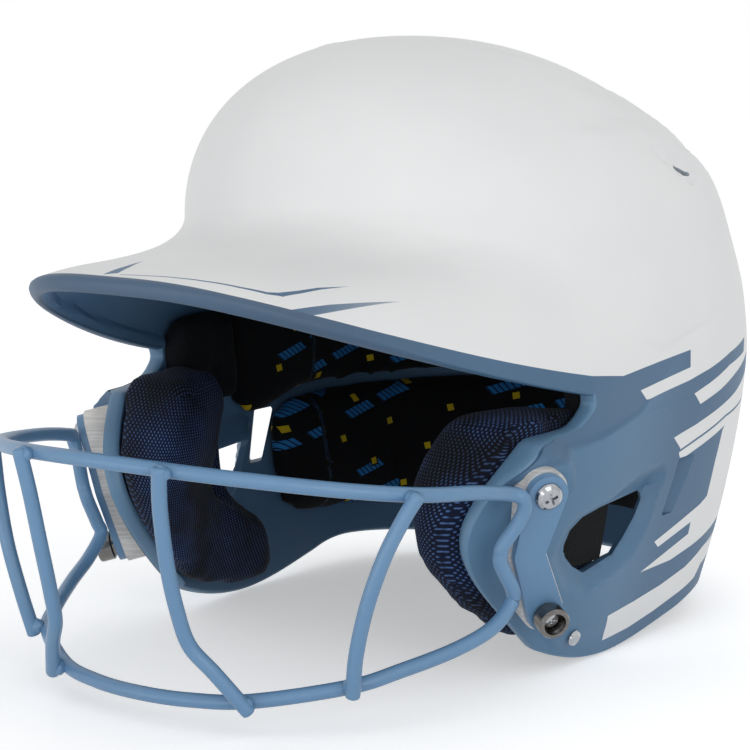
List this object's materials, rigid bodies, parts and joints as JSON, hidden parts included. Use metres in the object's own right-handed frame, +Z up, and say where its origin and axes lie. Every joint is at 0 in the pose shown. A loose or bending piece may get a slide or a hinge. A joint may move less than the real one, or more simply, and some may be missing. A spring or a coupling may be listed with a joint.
{
  "type": "softball helmet with face mask",
  "caption": "Batting helmet with a peak, ear flaps, padded liner and a bolted wire face guard with chin strap studs.",
  "frame": {"origin": "on the table that the helmet rests on, below the middle of its bounding box", "axes": "+Z up, -Y toward the front of the helmet, +X toward the wearer's left"},
  "size_m": [0.2168, 0.3497, 0.224],
  "materials": {
    "shell": "matte, painted",
    "liner_pad": "printed fabric over foam",
    "jaw_pad": "spacer mesh over foam",
    "tape": "hook and loop tape",
    "spacer": "satin",
    "guard_steel": "satin powder coat",
    "screw": "polished",
    "stud": "dark nickel",
    "nut": "zinc plated",
    "rivet": "satin"
  },
  "bodies": {
    "root": {"helmet_shell": "shell", "crown_pad": "liner_pad", "front_pad": "liner_pad", "back_pad": "liner_pad", "rear_pad": "liner_pad", "left_temple_pad": "liner_pad", "right_temple_pad": "liner_pad", "left_upper_pad": "liner_pad", "right_upper_pad": "liner_pad", "left_back_pad": "liner_pad", "right_back_pad": "liner_pad", "left_side_pad": "liner_pad", "right_side_pad": "liner_pad", "left_jaw_pad": "jaw_pad", "right_jaw_pad": "jaw_pad", "left_tape_patch": "tape", "right_tape_patch": "tape", "left_spacer": "spacer", "right_spacer": "spacer", "left_mount_plate": "guard_steel", "right_mount_plate": "guard_steel", "left_upper_screw": "screw", "right_upper_screw": "screw", "left_strap_stud": "stud", "right_strap_stud": "stud", "left_lower_screw": "stud", "right_lower_screw": "stud", "left_upper_nut": "nut", "right_upper_nut": "nut", "left_lower_nut": "nut", "right_lower_nut": "nut", "left_flap_rivet": "rivet", "right_flap_rivet": "rivet", "guard_top_wire": "guard_steel", "guard_lower_wire": "guard_steel", "guard_bar_left_outer": "guard_steel", "guard_bar_left_inner": "guard_steel", "guard_bar_right_inner": "guard_steel", "guard_bar_right_outer": "guard_steel"}
  },
  "joints": []
}
